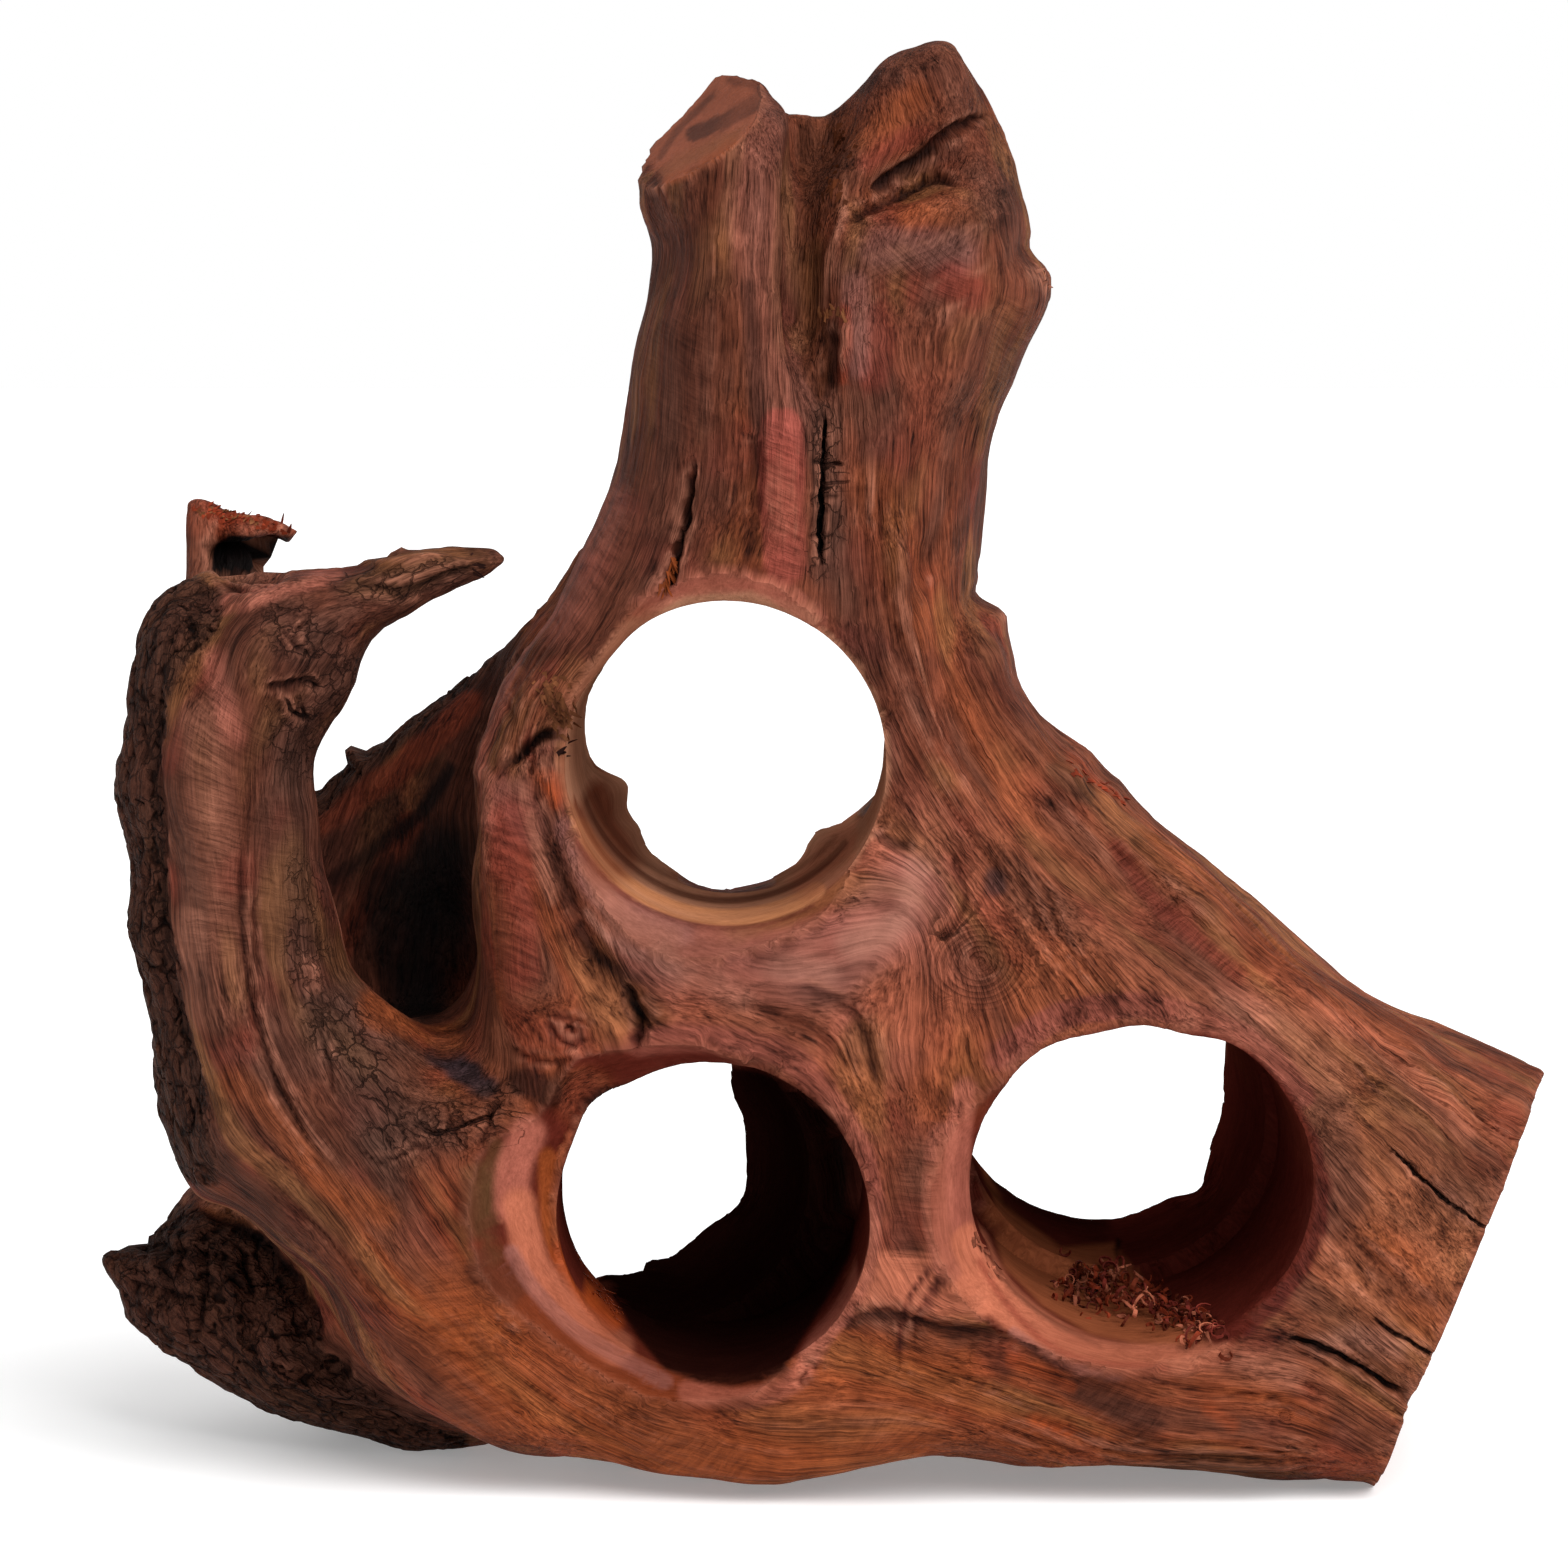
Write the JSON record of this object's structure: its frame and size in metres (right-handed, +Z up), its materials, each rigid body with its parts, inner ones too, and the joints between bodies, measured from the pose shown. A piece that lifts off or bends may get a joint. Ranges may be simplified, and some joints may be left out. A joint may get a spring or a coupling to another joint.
{
  "type": "porous driftwood",
  "caption": "Weathered hardwood root with fused stems, a curled side root and round holes bored right through, standing on its own base.",
  "frame": {"origin": "middle of the bounding box at the level that the wood stands on", "axes": "+Z up, +X along the base towards the sawn limb, -Y the face on which the flared mouths of the holes open"},
  "size_m": [0.3046, 0.1546, 0.2956],
  "materials": {
    "wood": "dry weathered hardwood, red brown, with dark cracked bark and pinkish sanded rims"
  },
  "bodies": {
    "root": {"driftwood": "wood"}
  },
  "joints": []
}
